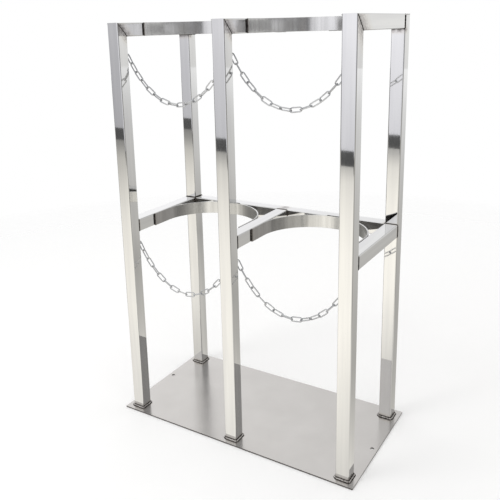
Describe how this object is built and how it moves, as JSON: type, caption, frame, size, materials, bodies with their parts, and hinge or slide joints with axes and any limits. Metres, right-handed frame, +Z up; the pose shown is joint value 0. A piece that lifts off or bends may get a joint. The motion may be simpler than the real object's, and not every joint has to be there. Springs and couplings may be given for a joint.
{
  "type": "gas cylinder bracket",
  "caption": "Floor-standing square-tube rack that holds tall gas cylinders upright in curved backing bands behind hanging chains.",
  "frame": {"origin": "middle of the base plate's underside", "axes": "+Z up, +X to the right along the plate's long side, -Y towards the open front where the chains hang"},
  "size_m": [0.774, 0.406, 1.2],
  "materials": {
    "plate": "satin stainless sheet",
    "tube": "mirror-polished stainless tube",
    "band": "polished stainless flat bar",
    "wire": "bright drawn stainless wire",
    "chain": "bright welded steel chain"
  },
  "bodies": {
    "frame": {"base_plate": "plate", "post_front_left": "tube", "top_rail_left": "tube", "mid_rail_left": "tube", "upper_eye_left": "wire", "lower_eye_left": "wire", "post_front_middle": "tube", "top_rail_middle": "tube", "mid_rail_middle": "tube", "upper_eye_middle": "wire", "lower_eye_middle": "wire", "post_front_right": "tube", "top_rail_right": "tube", "mid_rail_right": "tube", "upper_eye_right": "wire", "lower_eye_right": "wire", "top_rail_rear": "tube", "mid_rail_rear": "tube", "post_rear_left": "tube", "rear_post_cap_left": "tube", "top_band_left": "band", "mid_band_left": "band", "post_rear_right": "tube", "rear_post_cap_right": "tube", "top_band_right": "band", "mid_band_right": "band"},
    "upper_chain_left": {"upper_chain_left": "chain"},
    "upper_chain_right": {"upper_chain_right": "chain"},
    "lower_chain_left": {"lower_chain_left": "chain"},
    "lower_chain_right": {"lower_chain_right": "chain"}
  },
  "joints": [
    {"name": "upper_chain_left_swing", "type": "hinge", "parent": "frame", "child": "upper_chain_left", "pos_m": [-0.175, -0.133, 1.109], "axis": [1, 0, 0], "range_deg": [-10, 75]},
    {"name": "upper_chain_right_swing", "type": "hinge", "parent": "frame", "child": "upper_chain_right", "pos_m": [0.175, -0.133, 1.109], "axis": [1, 0, 0], "range_deg": [-10, 75]},
    {"name": "lower_chain_left_swing", "type": "hinge", "parent": "frame", "child": "lower_chain_left", "pos_m": [-0.175, -0.133, 0.544], "axis": [1, 0, 0], "range_deg": [-10, 75]},
    {"name": "lower_chain_right_swing", "type": "hinge", "parent": "frame", "child": "lower_chain_right", "pos_m": [0.175, -0.133, 0.544], "axis": [1, 0, 0], "range_deg": [-10, 75]}
  ]
}
